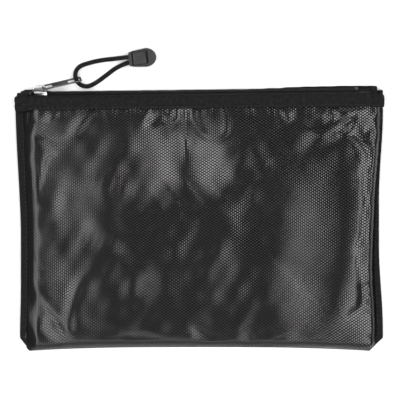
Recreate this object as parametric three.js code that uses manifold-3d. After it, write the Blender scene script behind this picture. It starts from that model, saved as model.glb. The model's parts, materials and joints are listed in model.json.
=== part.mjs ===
// A flat zipped pouch of coated glass-fibre cloth for lithium polymer packs, with a corded zip puller.
// Millimetres. It lies on its back: X runs along the zip, +Y points from the bottom seam to the zip, +Z is up.
// The origin is the middle of the back panel's outer face.
import * as THREE from "three";
import { mergeVertices } from "three/addons/utils/BufferGeometryUtils.js";
import Module from "manifold-3d";

const wasm = await Module();
wasm.setup();

// ---- Driving dimensions ----
const GAP = 0.3; // room between pieces that touch
const BAG_HALF_WIDTH = 132.5; // outside of the side strips
const BOTTOM_Y = -96;
const CHAMFER = 8.5; // the two lower corners are sewn across at 45 degrees
const STRIP = 1.6; // thickness of the tape that closes the sides and the bottom
const STRIP_HEIGHT = 4.4;
const CLOTH = 0.8; // coated cloth
const LINING = 0.5;
const CROWN_Z = 11.6; // top of the front panel's middle
const EDGE_Z = 4.2; // top of the front panel at its sewn edges
const SIDE_RUN = 14; // how far the front panel takes to rise from a side
const FOOT_RUN = 20; // and from the bottom seam
const PANEL_TOP_Y = 80.5; // where both panels meet the zip tapes

const ZIP_Y = 93.6; // middle of the chain, at x = 0
const ZIP_Z = 6;
const ZIP_TILT = THREE.MathUtils.degToRad(0.68); // the top edge rises a little towards +X
const ZIP_LEAN = THREE.MathUtils.degToRad(20); // the chain faces +Y and a little up
const TAPE = 0.5;
const TAPE_BACK = 12.4; // how far each tape reaches down its panel from the chain
const TAPE_TOP_Z = 12.2;
const COIL_NEAR = 0.8; // from the chain's middle line to each coil
const COIL_FAR = 2.9;
const COIL_IN = -0.5; // along the chain's facing direction
const COIL_OUT = 1.1;
const CHAIN_START = -123; // first tooth at the closed end
const CHAIN_END = 113.8;
const MOUTH_START = -106; // the mouth opens between these two places; the zip's ends stay shut
const MOUTH_END = 98;
const ZIP_END_LENGTH = 9;
const ZIP_HALF_LENGTH = 135.4;

const SLIDER_X = -117.1; // slider at its closed end, along the zip
const SLIDER_HALF_LENGTH = 5.5;
const PLATE_IN = 1.6; // outer plate, along the chain's facing direction
const PLATE_OUT = 2.7;
const BRIDGE_TOP = 6.3;
const BRIDGE_HALF_WIDTH = 0.8;
const PIVOT_X = 2.2; // pull tab's bar, from the slider's middle
const PIVOT_OUT = 4.3;

const TAB_LENGTH = 28.5; // between the middles of its two end bars
const TAB_HALF_WIDTH = 3.2;
const TAB_THICKNESS = 1.1;
const TAB_BAR = 0.55; // half the length of each end bar
const TAB_SLOT_HALF_WIDTH = 2.35;
const TAB_SLOT_LENGTH = 6.3; // near the slider
const TAB_CORD_SLOT_LENGTH = 9.2; // near the cord
const TAB_END = new THREE.Vector3(-87.5, 102.9, 3.5);
const TAB_TWIST = THREE.MathUtils.degToRad(11); // the tab hangs loose, so it rolls a little

const CORD_RADIUS = 1.75;
const CORD_STEPS = 56;
const CORD_SIDES = 8;
const CORD_Z = 4.15; // height of the two strands in the cord end
const STRAND_Y = 1.85; // half the distance between the strands there
const CORD_STOP = 7.4; // how far the strands reach into the cord end

const END_PLACE = new THREE.Vector3(-52, 117.2, 0); // face of the cord end's collar
const END_TURN = THREE.MathUtils.degToRad(7);
const END_HEIGHT = 8.2;
const END_LENGTH = 20.3;
const END_HALF_WIDTH = 6.8;
const END_ROUND_FROM = 12.5;
const COLLAR_LENGTH = 2.4;
const FLAP_START = 3;
const FLAP_END = 13;
const FLAP_HALF_WIDTH = 4.6;
const FLAP_THICKNESS = 1.2;
const FLAP_TOP = 8;

// ---- Finishes ----
const finish = (color, roughness, metalness) =>
  new THREE.MeshStandardMaterial({ color, roughness, metalness });
const coatedCloth = finish(0x26262a, 0.45, 0);
const liningCloth = finish(0x8e8c86, 0.8, 0);
const wovenTape = finish(0x161617, 0.85, 0);
const nylon = finish(0x1d1d1f, 0.4, 0);
const thread = finish(0x121213, 0.7, 0);
const chrome = finish(0xd8d8dc, 0.15, 1);
const steel = finish(0x8d8f92, 0.35, 1);
const braid = finish(0x101011, 0.8, 0);
const moulded = finish(0x3a3b3d, 0.5, 0);

// ---- Shapes ----
function shapeOf(points) {
  return new THREE.Shape(points.map(([x, y]) => new THREE.Vector2(x, y)));
}

// An outline in X and Y, raised from one height to another.
function slab(points, low, high) {
  return new THREE.ExtrudeGeometry(shapeOf(points), { depth: high - low, bevelEnabled: false })
    .translate(0, 0, low);
}

// A profile in Y and Z, run along X.
const PROFILE_TO_BAR = new THREE.Matrix4().makeBasis(
  new THREE.Vector3(0, 1, 0),
  new THREE.Vector3(0, 0, 1),
  new THREE.Vector3(1, 0, 0),
);
function bar(points, start, end) {
  return new THREE.ExtrudeGeometry(shapeOf(points), { depth: end - start, bevelEnabled: false })
    .applyMatrix4(PROFILE_TO_BAR)
    .translate(start, 0, 0);
}

function box(x, y, z) {
  return new THREE.BoxGeometry(x[1] - x[0], y[1] - y[0], z[1] - z[0])
    .translate((x[0] + x[1]) / 2, (y[0] + y[1]) / 2, (z[0] + z[1]) / 2);
}

function solid(geometry) {
  const bare = geometry.clone();
  bare.deleteAttribute("normal");
  bare.deleteAttribute("uv");
  const merged = mergeVertices(bare, 1e-4);
  return new wasm.Manifold(new wasm.Mesh({
    numProp: 3,
    vertProperties: new Float32Array(merged.attributes.position.array),
    triVerts: new Uint32Array(merged.index.array),
  }));
}

function geometryOf(manifold) {
  const mesh = manifold.getMesh();
  const geometry = new THREE.BufferGeometry();
  geometry.setAttribute("position", new THREE.BufferAttribute(mesh.vertProperties, 3));
  geometry.setIndex(new THREE.BufferAttribute(mesh.triVerts, 1));
  geometry.computeVertexNormals();
  return geometry;
}

function join(...geometries) {
  return geometryOf(geometries.map(solid).reduce((whole, next) => whole.add(next)));
}

function cut(geometry, ...holes) {
  return geometryOf(holes.map(solid).reduce((left, hole) => left.subtract(hole), solid(geometry)));
}

const bag = new THREE.Group();

function piece(name, geometry, material, parent = bag) {
  const mesh = new THREE.Mesh(geometry, material);
  mesh.name = name;
  parent.add(mesh);
  return mesh;
}

// ---- The cloth body ----
const panelHalfWidth = BAG_HALF_WIDTH - STRIP - GAP;
const footY = BOTTOM_Y + STRIP + GAP;
const rise = Math.tan(ZIP_TILT);

// Half the width of a panel at a height, with its lower corners cut across.
function halfWidthAt(y, inset) {
  const acrossCorner = y - BOTTOM_Y + BAG_HALF_WIDTH - CHAMFER - (STRIP + GAP) * Math.SQRT2;
  return Math.min(panelHalfWidth, acrossCorner) - inset;
}

function flatPanel(inset, low, high) {
  const bottom = footY + inset;
  const corner = BOTTOM_Y + CHAMFER + STRIP;
  const top = PANEL_TOP_Y - GAP - inset;
  const side = panelHalfWidth - inset;
  return slab(
    [
      [-halfWidthAt(bottom, inset), bottom],
      [halfWidthAt(bottom, inset), bottom],
      [halfWidthAt(corner, inset), corner],
      [side, top + rise * side],
      [-side, top - rise * side],
      [-halfWidthAt(corner, inset), corner],
    ],
    low,
    high,
  );
}

function crownHeight(x, y) {
  const side = THREE.MathUtils.smoothstep(halfWidthAt(y, 0) - Math.abs(x), 0, SIDE_RUN);
  const foot = THREE.MathUtils.smoothstep(y - footY, -2, FOOT_RUN);
  return EDGE_Z + (CROWN_Z - EDGE_Z) * side * foot;
}

// A sheet that follows the crown, a given depth under the front panel's outer face.
function crownPanel(inset, depth, thickness) {
  const top = PANEL_TOP_Y - GAP - inset;
  const rows = [0, 2.6, 5.2, 8.4, 12, 16, FOOT_RUN].map((up) => footY + inset + up).concat(top);
  const fromSide = [0, 2.5, 5, 8, 11, SIDE_RUN];
  const position = [];
  const columns = 2 * fromSide.length;
  for (const [face, drop] of [[0, depth], [1, depth + thickness]]) {
    for (const row of rows) {
      const half = halfWidthAt(row, inset);
      const across = fromSide.map((d) => d - half).concat(fromSide.map((d) => half - d).reverse());
      for (const x of across) {
        const y = row + (rise * x * (row - rows[0])) / (top - rows[0]);
        position.push(x, y, crownHeight(x, row) - drop);
      }
    }
  }
  const at = (face, row, column) => (face * rows.length + row) * columns + column;
  const index = [];
  const quad = (a, b, c, d) => index.push(a, b, c, a, c, d);
  const lastRow = rows.length - 1;
  const lastColumn = columns - 1;
  for (let r = 0; r < lastRow; r++) {
    for (let c = 0; c < lastColumn; c++) {
      quad(at(0, r, c), at(0, r, c + 1), at(0, r + 1, c + 1), at(0, r + 1, c));
      quad(at(1, r, c), at(1, r + 1, c), at(1, r + 1, c + 1), at(1, r, c + 1));
    }
  }
  for (let c = 0; c < lastColumn; c++) {
    quad(at(1, 0, c), at(1, 0, c + 1), at(0, 0, c + 1), at(0, 0, c));
    quad(at(0, lastRow, c), at(0, lastRow, c + 1), at(1, lastRow, c + 1), at(1, lastRow, c));
  }
  for (let r = 0; r < lastRow; r++) {
    quad(at(0, r, 0), at(0, r + 1, 0), at(1, r + 1, 0), at(1, r, 0));
    quad(at(1, r, lastColumn), at(1, r + 1, lastColumn), at(0, r + 1, lastColumn), at(0, r, lastColumn));
  }
  const geometry = new THREE.BufferGeometry();
  geometry.setAttribute("position", new THREE.Float32BufferAttribute(position, 3));
  geometry.setIndex(index);
  geometry.computeVertexNormals();
  return geometry;
}

const LINING_INSET = 1.5;
const liningLow = CLOTH + GAP;
piece("back_panel", flatPanel(0, 0, CLOTH), coatedCloth);
piece("back_lining", flatPanel(LINING_INSET, liningLow, liningLow + LINING), liningCloth);
piece("front_panel", crownPanel(0, 0, CLOTH), coatedCloth);
piece("front_lining", crownPanel(LINING_INSET, CLOTH + GAP + 0.1, LINING), liningCloth);

// The tape down one side goes on across the lower corner.
function sideStrip(side) {
  const inner = BAG_HALF_WIDTH - STRIP;
  const top = PANEL_TOP_Y - GAP + side * rise * BAG_HALF_WIDTH;
  const acrossInside = CHAMFER + STRIP * (Math.SQRT2 - 1);
  const outline = [
    [BAG_HALF_WIDTH, top],
    [inner, top],
    [inner, BOTTOM_Y + acrossInside],
    [inner - acrossInside, BOTTOM_Y],
    [BAG_HALF_WIDTH - CHAMFER, BOTTOM_Y],
    [BAG_HALF_WIDTH, BOTTOM_Y + CHAMFER],
  ];
  return slab(outline.map(([x, y]) => [side * x, y]), 0, STRIP_HEIGHT);
}
piece("side_strip_left", sideStrip(-1), wovenTape);
piece("side_strip_right", sideStrip(1), wovenTape);

const seamTapeHalf = BAG_HALF_WIDTH - CHAMFER - STRIP - 1.5;
piece(
  "bottom_seam_tape",
  box([-seamTapeHalf, seamTapeHalf], [BOTTOM_Y, BOTTOM_Y + STRIP], [0, STRIP_HEIGHT - GAP]),
  wovenTape,
);

// ---- Stitching: one line of thread along each seam ----
const THREAD = 0.5;
const SEAM_Z = 1.9;
const seamX = BAG_HALF_WIDTH - STRIP - GAP - THREAD;
function sideSeamThread(side) {
  const from = side * seamX - THREAD / 2;
  const length = [BOTTOM_Y + CHAMFER + 3, PANEL_TOP_Y - 6];
  return box([from, from + THREAD], length, [SEAM_Z, SEAM_Z + THREAD]);
}
piece("left_seam_stitching", sideSeamThread(-1), thread);
piece("right_seam_stitching", sideSeamThread(1), thread);
piece(
  "bottom_seam_stitching",
  box([-seamTapeHalf + 2, seamTapeHalf - 2], [footY, footY + THREAD], [SEAM_Z, SEAM_Z + THREAD]),
  thread,
);

// ---- The zip: everything here is set out from the chain's middle line ----
const zip = new THREE.Group();
zip.position.set(0, ZIP_Y, 0);
zip.rotation.z = ZIP_TILT;
bag.add(zip);

// X along the zip, Y out of the chain's face, Z across the chain towards the front.
const chain = new THREE.Group();
chain.position.set(0, 0, ZIP_Z);
chain.rotation.x = ZIP_LEAN;
zip.add(chain);

// A point of the chain's section as Y and Z of the zip.
function fromChain(out, across) {
  return [
    out * Math.cos(ZIP_LEAN) - across * Math.sin(ZIP_LEAN),
    ZIP_Z + out * Math.sin(ZIP_LEAN) + across * Math.cos(ZIP_LEAN),
  ];
}

const TAPE_OUT = -0.7; // the tape lies behind the coil
const TAPE_BEND = 4.9; // where it leaves the chain's plane
const frontTape = [
  fromChain(TAPE_OUT, COIL_NEAR),
  fromChain(TAPE_OUT, TAPE_BEND),
  [-2.5, TAPE_TOP_Z - 0.7],
  [-3.3, TAPE_TOP_Z],
  [-TAPE_BACK, TAPE_TOP_Z],
  [-TAPE_BACK, TAPE_TOP_Z - TAPE],
  [-3.6, TAPE_TOP_Z - TAPE],
  [-3.1, TAPE_TOP_Z - 1.1],
  fromChain(TAPE_OUT - TAPE, TAPE_BEND),
  fromChain(TAPE_OUT - TAPE, COIL_NEAR),
];
const backTape = [
  fromChain(TAPE_OUT, -COIL_NEAR),
  fromChain(TAPE_OUT - TAPE, -COIL_NEAR),
  fromChain(TAPE_OUT - TAPE, -TAPE_BEND),
  [0.4, TAPE],
  [-TAPE_BACK, TAPE],
  [-TAPE_BACK, 0],
  [1, 0],
  [1.3, 0.4],
  fromChain(TAPE_OUT, -TAPE_BEND),
];
const COIL_EDGE = 0.4;
const coil = (side) => [
  [COIL_IN, side * (COIL_NEAR + COIL_EDGE)],
  [COIL_IN + COIL_EDGE, side * COIL_NEAR],
  [COIL_OUT - COIL_EDGE, side * COIL_NEAR],
  [COIL_OUT, side * (COIL_NEAR + COIL_EDGE)],
  [COIL_OUT, side * (COIL_FAR - COIL_EDGE)],
  [COIL_OUT - COIL_EDGE, side * COIL_FAR],
  [COIL_IN + COIL_EDGE, side * COIL_FAR],
  [COIL_IN, side * (COIL_FAR - COIL_EDGE)],
];
const tapeStart = ZIP_END_LENGTH + GAP - ZIP_HALF_LENGTH;
const tapeEnd = ZIP_HALF_LENGTH - ZIP_END_LENGTH - GAP;
const frontStretches = [
  ["", MOUTH_START, MOUTH_END],
  ["_left_end", tapeStart, MOUTH_START - GAP],
  ["_right_end", MOUTH_END + GAP, tapeEnd],
];
for (const [suffix, start, end] of frontStretches) {
  piece("zip_tape_front" + suffix, bar(frontTape, start, end), wovenTape, zip);
  const from = Math.max(start, CHAIN_START);
  const to = Math.min(end, CHAIN_END);
  piece("zip_coil_front" + suffix, bar(coil(1), from, to), nylon, chain);
}
piece("zip_tape_back", bar(backTape, tapeStart, tapeEnd), wovenTape, zip);
piece("zip_coil_back", bar(coil(-1), CHAIN_START, CHAIN_END), nylon, chain);

// Stops past both ends of the coils, so that the slider can't run off.
const STOP_LENGTH = 2.4;
const stopX = [CHAIN_START - GAP - STOP_LENGTH, CHAIN_START - GAP];
const stopOut = [TAPE_OUT + GAP, COIL_OUT + 0.2];
piece("top_stop_front", box(stopX, stopOut, [COIL_NEAR, COIL_FAR]), chrome, chain);
piece("top_stop_back", box(stopX, stopOut, [-COIL_FAR, -COIL_NEAR]), chrome, chain);
piece(
  "bottom_stop",
  box([CHAIN_END + GAP, CHAIN_END + GAP + STOP_LENGTH], stopOut, [-COIL_FAR, COIL_FAR]),
  chrome,
  chain,
);

// The tape's ends are folded over and sewn down at both ends of the zip.
function zipEnd(side) {
  const inner = ZIP_HALF_LENGTH - ZIP_END_LENGTH;
  const outline = [
    [inner, -TAPE_BACK],
    [ZIP_HALF_LENGTH, -TAPE_BACK],
    [ZIP_HALF_LENGTH, -3],
    [ZIP_HALF_LENGTH - 4.5, 1.4],
    [inner, 1.4],
  ];
  return slab(outline.map(([x, y]) => [side * x, y]), 0, TAPE_TOP_Z);
}
piece("zip_end_left", zipEnd(-1), wovenTape, zip);
piece("zip_end_right", zipEnd(1), wovenTape, zip);

const bandThreadY = [1 - TAPE_BACK, 1 - TAPE_BACK + THREAD];
piece(
  "front_band_stitching",
  box([MOUTH_START + 1, MOUTH_END - 1], bandThreadY, [TAPE_TOP_Z + GAP, TAPE_TOP_Z + GAP + THREAD]),
  thread,
  zip,
);
piece(
  "back_band_stitching",
  box([tapeStart + 1, tapeEnd - 1], bandThreadY, [TAPE + GAP, TAPE + GAP + THREAD]),
  thread,
  zip,
);

// ---- The slider ----
const slider = new THREE.Group();
slider.position.x = SLIDER_X;
chain.add(slider);

// An outline along the zip and across the chain, from one distance out of its face to another.
function plate(points, low, high) {
  return new THREE.ExtrudeGeometry(shapeOf(points), { depth: high - low, bevelEnabled: false })
    .rotateX(Math.PI / 2)
    .translate(0, high, 0);
}

const SHOULDER = 4.5;
const FLANGE_IN = COIL_FAR + 0.45;
const FLANGE_OUT = 4.2;
const INNER_PLATE = [-3, -1.9];
const outerPlate = [
  [-SLIDER_HALF_LENGTH, -2.6],
  [-4.2, -SHOULDER],
  [1, -SHOULDER],
  [5, -FLANGE_OUT],
  [SLIDER_HALF_LENGTH, -3.6],
  [SLIDER_HALF_LENGTH, 3.6],
  [5, FLANGE_OUT],
  [1, SHOULDER],
  [-4.2, SHOULDER],
  [-SLIDER_HALF_LENGTH, 2.6],
];
const innerPlate = outerPlate.map(([x, across]) => [x, across * 0.86]);
const wedge = [[-5.2, 0], [-4.2, -0.5], [-2, -0.45], [-1.2, 0], [-2, 0.45], [-4.2, 0.5]];
const flange = (side) =>
  box([-3.5, 5.1], [COIL_IN + 0.2, PLATE_IN + 0.2], side > 0 ? [FLANGE_IN, FLANGE_OUT] : [-FLANGE_OUT, -FLANGE_IN]);
piece(
  "slider_body",
  join(
    plate(outerPlate, PLATE_IN, PLATE_OUT),
    plate(innerPlate, ...INNER_PLATE),
    plate(wedge, INNER_PLATE[1] - 0.2, PLATE_IN + 0.2),
    flange(1),
    flange(-1),
  ),
  chrome,
  slider,
);

// The bridge: a low arch over the plate, which the pull tab's bar hangs in.
const bridgeFoot = PLATE_OUT + GAP;
const bridgeUnder = BRIDGE_TOP - 0.9;
const bridge = slab(
  [
    [4.2, bridgeFoot],
    [4.2, BRIDGE_TOP - 0.8],
    [3.3, BRIDGE_TOP],
    [-3.8, BRIDGE_TOP],
    [-5, BRIDGE_TOP - 0.5],
    [-5.3, BRIDGE_TOP - 1.4],
    [-5.3, bridgeFoot],
    [-4.2, bridgeFoot],
    [-4.2, bridgeUnder - 0.5],
    [-3.8, bridgeUnder],
    [2.9, bridgeUnder],
    [3.3, bridgeUnder - 0.5],
    [3.3, bridgeFoot],
  ],
  -BRIDGE_HALF_WIDTH,
  BRIDGE_HALF_WIDTH,
);
piece("slider_bridge", bridge, chrome, slider);
piece("lock_spring", box([-3.6, 0.8], [bridgeFoot, bridgeFoot + 0.4], [-0.5, 0.5]), steel, slider);

// ---- The pull tab, hung on the bridge and leaning down to what the bag lies on ----
bag.updateMatrixWorld(true);
const pivot = slider.localToWorld(new THREE.Vector3(PIVOT_X, PIVOT_OUT, 0));
const along = TAB_END.clone().sub(pivot).normalize();
const across = new THREE.Vector3(0, 0, 1)
  .transformDirection(chain.matrixWorld)
  .projectOnPlane(along)
  .normalize()
  .applyAxisAngle(along, TAB_TWIST);

// A rectangle with cut corners, from one length to another.
function roundedStrip(start, end, half, corner) {
  return [
    [start, -half + corner],
    [start + corner, -half],
    [end - corner, -half],
    [end, -half + corner],
    [end, half - corner],
    [end - corner, half],
    [start + corner, half],
    [start, half - corner],
  ];
}
const tabShape = shapeOf(roundedStrip(-TAB_BAR, TAB_LENGTH + TAB_BAR, TAB_HALF_WIDTH, 1));
const tabSlots = [
  [TAB_BAR, TAB_BAR + TAB_SLOT_LENGTH],
  [TAB_LENGTH - TAB_BAR - TAB_CORD_SLOT_LENGTH, TAB_LENGTH - TAB_BAR],
];
for (const [start, end] of tabSlots)
  tabShape.holes.push(shapeOf(roundedStrip(start, end, TAB_SLOT_HALF_WIDTH, 0.5)));
const tab = piece(
  "pull_tab",
  new THREE.ExtrudeGeometry(tabShape, { depth: TAB_THICKNESS, bevelEnabled: false })
    .translate(0, 0, -TAB_THICKNESS / 2),
  steel,
);
tab.position.copy(pivot);
tab.quaternion.setFromRotationMatrix(
  new THREE.Matrix4().makeBasis(along, across, along.clone().cross(across)),
);

// ---- The puller cord: out of the cord end, through the tab's slot and back ----
const cordEnd = new THREE.Group();
cordEnd.position.copy(END_PLACE);
cordEnd.rotation.z = END_TURN;
bag.add(cordEnd);
cordEnd.updateMatrixWorld(true);
const inEnd = (x, y) => cordEnd.localToWorld(new THREE.Vector3(x, y, CORD_Z));
const cordRoute = [
  inEnd(CORD_STOP, STRAND_Y),
  inEnd(2, STRAND_Y),
  new THREE.Vector3(-57.5, 118.4, 3.5),
  new THREE.Vector3(-64, 117.7, 2.4),
  new THREE.Vector3(-71, 116.9, 2.2),
  new THREE.Vector3(-78.5, 115.4, 3),
  new THREE.Vector3(-86.2, 113, 3.7),
  new THREE.Vector3(-88.8, 111.4, 4.4),
  new THREE.Vector3(-90.6, 108.9, 4.8),
  new THREE.Vector3(-91.3, 105.9, 4.7),
  new THREE.Vector3(-90.8, 102.9, 4.1),
  new THREE.Vector3(-89.2, 100.2, 3.3),
  new THREE.Vector3(-86.8, 98.4, 2.5),
  new THREE.Vector3(-83.8, 97.6, 1.9),
  new THREE.Vector3(-80.7, 98, 1.8),
  new THREE.Vector3(-74.5, 101.4, 1.8),
  new THREE.Vector3(-68, 106.2, 1.8),
  new THREE.Vector3(-60.5, 111.5, 2.5),
  inEnd(2, -STRAND_Y),
  inEnd(CORD_STOP, -STRAND_Y),
];
const cordSection = Array.from({ length: CORD_SIDES }, (_, i) => {
  const turn = (2 * Math.PI * (i + 0.5)) / CORD_SIDES;
  return [CORD_RADIUS * Math.cos(turn), CORD_RADIUS * Math.sin(turn)];
});
piece(
  "puller_cord",
  new THREE.ExtrudeGeometry(shapeOf(cordSection), {
    steps: CORD_STEPS,
    extrudePath: new THREE.CatmullRomCurve3(cordRoute, false, "centripetal"),
  }),
  braid,
);

// ---- The cord end: a moulded housing with a flap over the knot ----
const bodyOutline = new THREE.Shape();
bodyOutline.moveTo(COLLAR_LENGTH - 0.2, -5.6);
bodyOutline.lineTo(END_ROUND_FROM, -END_HALF_WIDTH);
bodyOutline.absellipse(
  END_ROUND_FROM, 0, END_LENGTH - END_ROUND_FROM, END_HALF_WIDTH, -Math.PI / 2, Math.PI / 2,
);
bodyOutline.lineTo(COLLAR_LENGTH - 0.2, 5.6);
const ROUNDING = 1.2;
const body = new THREE.ExtrudeGeometry(bodyOutline, {
  depth: END_HEIGHT - 2 * ROUNDING,
  bevelThickness: ROUNDING,
  bevelSize: ROUNDING,
  bevelOffset: -ROUNDING,
  bevelSegments: 3,
  curveSegments: 12,
}).translate(0, 0, ROUNDING);
const collar = box([0, COLLAR_LENGTH + ROUNDING], [-4.5, 4.5], [1.2, 7.2]);
const ears = box([0.6, COLLAR_LENGTH + ROUNDING], [-5.3, 5.3], [5.2, 7.2]);
const flapLow = FLAP_TOP - FLAP_THICKNESS;
const recessFloor = flapLow - GAP;
const recess = box(
  [FLAP_START - 0.4, FLAP_END + GAP],
  [-FLAP_HALF_WIDTH - GAP, FLAP_HALF_WIDTH + GAP],
  [recessFloor, END_HEIGHT + 1],
);
const fingerNotch = box(
  [FLAP_END, FLAP_END + 1.4],
  [-FLAP_HALF_WIDTH, FLAP_HALF_WIDTH],
  [recessFloor - 1.2, END_HEIGHT + 1],
);
const pocket = box([5.6, FLAP_END - 0.6], [-4, 4], [1.6, recessFloor + 1]);
const channelRoom = CORD_RADIUS + 0.2;
const channel = box(
  [-1, 6],
  [-STRAND_Y - channelRoom, STRAND_Y + channelRoom],
  [CORD_Z - channelRoom, CORD_Z + channelRoom],
);
piece(
  "cord_end_housing",
  cut(join(body, collar, ears), recess, fingerNotch, pocket, channel),
  moulded,
  cordEnd,
);

// The flap turns on a round barrel at its collar end.
const barrel = FLAP_THICKNESS / 2;
const flapProfile = new THREE.Shape();
flapProfile.moveTo(FLAP_START + barrel, flapLow);
flapProfile.lineTo(FLAP_END, flapLow);
flapProfile.lineTo(FLAP_END, FLAP_TOP);
flapProfile.lineTo(FLAP_START + barrel, FLAP_TOP);
flapProfile.absarc(FLAP_START + barrel, flapLow + barrel, barrel, Math.PI / 2, (3 * Math.PI) / 2);
piece(
  "cord_end_flap",
  new THREE.ExtrudeGeometry(flapProfile, {
    depth: 2 * FLAP_HALF_WIDTH,
    bevelEnabled: false,
    curveSegments: 8,
  })
    .rotateX(Math.PI / 2)
    .translate(0, FLAP_HALF_WIDTH, 0),
  moulded,
  cordEnd,
);
piece(
  "cord_knot",
  new THREE.SphereGeometry(1, 12, 8).scale(2.2, 3.3, 2.1).translate(10, 0, CORD_Z - 0.2),
  braid,
  cordEnd,
);

export default bag;
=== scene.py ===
import json
import math
import bmesh
import bpy
import numpy as np
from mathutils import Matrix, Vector


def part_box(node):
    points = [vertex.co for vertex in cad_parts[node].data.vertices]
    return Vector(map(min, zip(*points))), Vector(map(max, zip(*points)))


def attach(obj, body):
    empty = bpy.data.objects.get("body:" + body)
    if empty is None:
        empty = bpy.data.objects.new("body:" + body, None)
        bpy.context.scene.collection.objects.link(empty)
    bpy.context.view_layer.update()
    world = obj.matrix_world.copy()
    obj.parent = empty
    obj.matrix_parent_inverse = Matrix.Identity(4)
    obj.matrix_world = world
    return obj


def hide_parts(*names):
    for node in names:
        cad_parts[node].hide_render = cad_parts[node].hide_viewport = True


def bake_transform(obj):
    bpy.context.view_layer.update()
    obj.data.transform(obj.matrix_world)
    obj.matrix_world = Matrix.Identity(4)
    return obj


# A flat zipped pouch of coated glass-fibre cloth, with a corded zip puller. It lies on its back.
# Shapes are set out in millimetres in the frame's axes, and become metres in make().
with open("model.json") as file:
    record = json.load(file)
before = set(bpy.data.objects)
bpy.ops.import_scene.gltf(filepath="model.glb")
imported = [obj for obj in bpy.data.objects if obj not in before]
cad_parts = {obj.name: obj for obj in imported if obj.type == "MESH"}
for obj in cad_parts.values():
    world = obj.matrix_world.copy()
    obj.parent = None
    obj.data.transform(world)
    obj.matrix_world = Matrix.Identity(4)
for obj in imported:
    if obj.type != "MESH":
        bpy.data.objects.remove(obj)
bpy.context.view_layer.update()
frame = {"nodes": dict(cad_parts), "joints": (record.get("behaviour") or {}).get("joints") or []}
SCENE = bpy.context.scene
MM = 0.001


def node_box(name):
    """A CAD node's lowest and highest corners, in millimetres."""
    low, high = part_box(name)
    return np.array(low) / MM, np.array(high) / MM


JOINTS = {joint["name"]: joint for joint in frame["joints"]}
zip_way = JOINTS["slider_travel"]["axis"]
ZIP_SLOPE = zip_way[1] / zip_way[0]  # the zip rises a little to the right


# ---- Camera: straight above the bag ----
VIEW_WIDTH = 0.2936
VIEW_CENTRE = (0.0004, 0.0139)
CAMERA_RISE = 2.0
SENSOR = 36.0
bag_top = node_box("front_panel")[1][2] * MM
camera_data = bpy.data.cameras.new("camera")
camera_data.sensor_width = SENSOR
camera_data.lens = SENSOR * CAMERA_RISE / VIEW_WIDTH
camera_data.clip_end = 20
camera = bpy.data.objects.new("camera", camera_data)
camera.location = (*VIEW_CENTRE, bag_top * 0.7 + CAMERA_RISE)
SCENE.collection.objects.link(camera)
SCENE.camera = camera


# ---- Numbers ----
def smooth(t):
    t = np.clip(t, 0, 1)
    return t * t * (3 - 2 * t)


def ripple(x, seed, lengths):
    """A gentle irregular wave between about -1 and 1."""
    rng = np.random.default_rng(seed)
    waves = [np.sin(2 * math.pi * (x / length + rng.random())) for length in lengths]
    return sum(waves) / math.sqrt(len(lengths))


def rumple(x, y, seed, length, count=14):
    """Irregular waves in every direction, between about -1 and 1."""
    rng = np.random.default_rng(seed)
    total = 0
    for _ in range(count):
        turn, phase, size = rng.random(3)
        across = x * math.cos(math.pi * turn) + y * math.sin(math.pi * turn)
        total = total + np.sin(2 * math.pi * (across / (length * (0.6 + size)) + phase))
    return total / math.sqrt(count)


def spline(points, step):
    """A centripetal Catmull-Rom curve through the points, resampled at an even step."""
    p = np.array(points, float)
    p = np.vstack([2 * p[0] - p[1], p, 2 * p[-1] - p[-2]])
    line = []
    for a, b, c, d in zip(p, p[1:], p[2:], p[3:]):
        t0 = 0.0
        t1 = t0 + np.linalg.norm(b - a) ** 0.5
        t2 = t1 + np.linalg.norm(c - b) ** 0.5
        t3 = t2 + np.linalg.norm(d - c) ** 0.5
        t = np.linspace(t1, t2, 32, endpoint=False)[:, None]
        ab = (t1 - t) / (t1 - t0) * a + (t - t0) / (t1 - t0) * b
        bc = (t2 - t) / (t2 - t1) * b + (t - t1) / (t2 - t1) * c
        cd = (t3 - t) / (t3 - t2) * c + (t - t2) / (t3 - t2) * d
        abc = (t2 - t) / (t2 - t0) * ab + (t - t0) / (t2 - t0) * bc
        bcd = (t3 - t) / (t3 - t1) * bc + (t - t1) / (t3 - t1) * cd
        line.append((t2 - t) / (t2 - t1) * abc + (t - t1) / (t2 - t1) * bcd)
    return even(np.vstack(line + [p[-2:-1]]), step)


def even(line, step):
    """The same line as points an even step apart."""
    far = np.concatenate([[0], np.cumsum(np.linalg.norm(np.diff(line, axis=0), axis=1))])
    at = np.linspace(0, far[-1], max(2, round(far[-1] / step) + 1))
    return np.stack([np.interp(at, far, line[:, i]) for i in range(line.shape[1])], axis=1)


# ---- Meshes ----
def make(name, points, faces, material, uv=None):
    """A piece from points in millimetres. uv holds a pair of metres for each corner of each face."""
    mesh = bpy.data.meshes.new(name)
    mesh.from_pydata((np.asarray(points, float) * MM).tolist(), [], faces)
    if uv is not None:
        layer = mesh.uv_layers.new(name="cloth")
        layer.data.foreach_set("uv", np.asarray(uv, np.float32).ravel())
    mesh.shade_smooth()
    mesh.materials.append(material)
    piece = bpy.data.objects.new(name, mesh)
    SCENE.collection.objects.link(piece)
    return piece


def spans(points):
    """Distance travelled along the first axis of a grid of points, averaged over the others."""
    steps = np.linalg.norm(np.diff(points, axis=0), axis=-1)
    steps = steps.reshape(len(steps), -1).mean(axis=1)
    return np.concatenate([[0], np.cumsum(steps)])


def ring_faces(rows, columns):
    """Quads of a tube whose sections are closed rings, and its two end faces."""
    quads = []
    for r in range(rows - 1):
        for c in range(columns):
            d = (c + 1) % columns
            quads.append(
                (r * columns + c, r * columns + d, (r + 1) * columns + d, (r + 1) * columns + c)
            )
    ends = [
        tuple(reversed(range(columns))),
        tuple(range((rows - 1) * columns, rows * columns)),
    ]
    return quads, ends


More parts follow.
